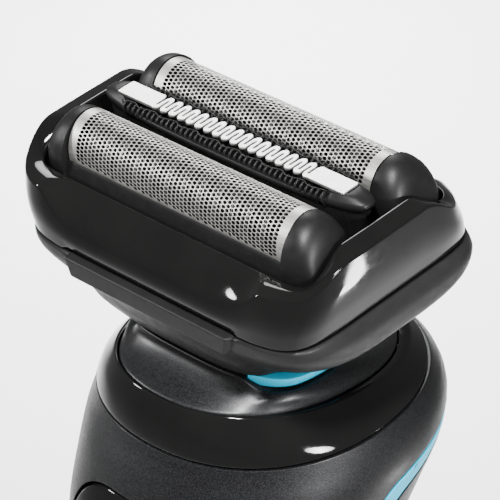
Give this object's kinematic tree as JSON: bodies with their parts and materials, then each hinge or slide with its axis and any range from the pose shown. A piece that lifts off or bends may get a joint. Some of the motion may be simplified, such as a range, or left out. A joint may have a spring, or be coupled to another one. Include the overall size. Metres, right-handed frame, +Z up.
{
  "type": "electric shaver",
  "caption": "Cordless foil shaver: swivelling head with perforated foils and a middle trimmer, lift-off cassette, slim upright handle with power button, side strips and charging inlet.",
  "frame": {"origin": "on the flat underside of the bottom cap, on the handle's long axis", "axes": "+Z up the handle to the head, -Y the front with the power button, +X to the right seen from the back"},
  "size_m": [0.052, 0.048, 0.1611],
  "materials": {
    "gloss_black": "polished",
    "satin_black": "satin",
    "matte_black": "fine grain",
    "metallic_grey": "metallic lacquer",
    "accent_blue": "satin gloss",
    "foil_steel": "perforated foil",
    "blade_steel": "ground",
    "steel": "machined",
    "rubber_black": "matt",
    "board_green": "solder mask",
    "cell_wrap": "shrink wrap",
    "brass": "plated",
    "lens": "translucent",
    "moulded_white": "moulded"
  },
  "bodies": {
    "handle": {"accent_ring": "accent_blue", "neck_collar": "metallic_grey", "neck_core": "satin_black", "neck_seal": "rubber_black", "shoulder_cover": "gloss_black", "front_shell": "metallic_grey", "rear_shell": "metallic_grey", "side_strip_left": "accent_blue", "side_strip_right": "accent_blue", "front_panel": "gloss_black", "indicator_window": "lens", "rear_grip": "rubber_black", "bottom_cap": "satin_black", "bottom_seal": "rubber_black", "cap_screw_left": "steel", "cap_screw_right": "steel", "neck_screw_left": "steel", "neck_screw_right": "steel", "charging_socket": "satin_black", "charge_pin_left": "brass", "charge_pin_right": "brass", "chassis": "moulded_white", "battery": "cell_wrap", "battery_tab_lower": "brass", "battery_tab_upper": "brass", "motor": "steel", "lever_pin": "steel", "circuit_board": "board_green", "power_switch": "steel", "status_light": "lens"},
    "swivel_head": {"head_base": "matte_black", "swivel_pin_left": "steel", "swivel_pin_right": "steel", "foil_spring_front_left": "steel", "foil_spring_front_right": "steel", "foil_spring_rear_left": "steel", "foil_spring_rear_right": "steel", "trimmer_spring_left": "steel", "trimmer_spring_right": "steel"},
    "bridge": {"drive_bridge": "moulded_white"},
    "cassette": {"cassette_frame": "gloss_black", "cassette_latch_left": "satin_black", "cassette_latch_right": "satin_black"},
    "foil_unit_front": {"foil_frame_front": "satin_black", "foil_front": "foil_steel"},
    "foil_unit_rear": {"foil_frame_rear": "satin_black", "foil_rear": "foil_steel"},
    "trimmer_unit": {"trimmer_comb": "satin_black", "trimmer_blade": "blade_steel"},
    "cutter_front": {"cutter_block_front": "blade_steel", "cutter_carrier_front": "moulded_white"},
    "cutter_rear": {"cutter_block_rear": "blade_steel", "cutter_carrier_rear": "moulded_white"},
    "trimmer_slider": {"trimmer_cutter": "steel"},
    "lever": {"drive_lever": "moulded_white"},
    "shaft": {"motor_shaft": "steel"},
    "button": {"power_button": "gloss_black"}
  },
  "joints": [
    {"name": "head_swivel", "type": "hinge", "parent": "handle", "child": "swivel_head", "pos_m": [0, 0.00248, 0.13897], "axis": [1, 0, 0], "range_deg": [-6, 6], "stiffness_Nm_per_rad": 2},
    {"name": "cassette_release", "type": "slide", "parent": "swivel_head", "child": "cassette", "axis": [0, -0.1444, 0.9895], "range_m": [0, 0.014]},
    {"name": "foil_float_front", "type": "slide", "parent": "cassette", "child": "foil_unit_front", "axis": [0, -0.1444, 0.9895], "range_m": [-0.0014, 0], "stiffness_N_per_m": 500, "springref_m": 0.001, "deforming": ["foil_spring_front_left", "foil_spring_front_right"]},
    {"name": "foil_float_rear", "type": "slide", "parent": "cassette", "child": "foil_unit_rear", "axis": [0, -0.1444, 0.9895], "range_m": [-0.0014, 0], "stiffness_N_per_m": 500, "springref_m": 0.001, "deforming": ["foil_spring_rear_left", "foil_spring_rear_right"]},
    {"name": "trimmer_float", "type": "slide", "parent": "cassette", "child": "trimmer_unit", "axis": [0, -0.1444, 0.9895], "range_m": [-0.0014, 0], "stiffness_N_per_m": 400, "springref_m": 0.001, "deforming": ["trimmer_spring_left", "trimmer_spring_right"]},
    {"name": "lever_rock", "type": "hinge", "parent": "handle", "child": "lever", "pos_m": [0, 0.0025, 0.118], "axis": [0, 1, 0], "range_deg": [-2, 2]},
    {"name": "bridge_slide", "type": "slide", "parent": "swivel_head", "child": "bridge", "axis": [1, 0, 0], "range_m": [-0.00073, 0.00073]},
    {"name": "cutter_slide_front", "type": "slide", "parent": "foil_unit_front", "child": "cutter_front", "axis": [1, 0, 0], "range_m": [-0.00073, 0.00073]},
    {"name": "cutter_slide_rear", "type": "slide", "parent": "foil_unit_rear", "child": "cutter_rear", "axis": [1, 0, 0], "range_m": [-0.00073, 0.00073]},
    {"name": "trimmer_cutter_slide", "type": "slide", "parent": "trimmer_unit", "child": "trimmer_slider", "axis": [1, 0, 0], "range_m": [-0.00073, 0.00073]},
    {"name": "shaft_spin", "type": "hinge", "parent": "handle", "child": "shaft", "pos_m": [0, 0.0025, 0.1], "axis": [0, 0, 1], "continuous": true},
    {"name": "button_press", "type": "slide", "parent": "handle", "child": "button", "axis": [0, 1, 0], "range_m": [0, 0.0007], "stiffness_N_per_m": 600, "springref_m": -0.0006}
  ],
  "couplings": [
    {"joint": "cutter_slide_rear", "follows": "cutter_slide_front", "ratio": 1},
    {"joint": "trimmer_cutter_slide", "follows": "cutter_slide_front", "ratio": 1},
    {"joint": "bridge_slide", "follows": "cutter_slide_front", "ratio": 1},
    {"joint": "lever_rock", "follows": "cutter_slide_front", "rad_per_m": 47.675}
  ]
}
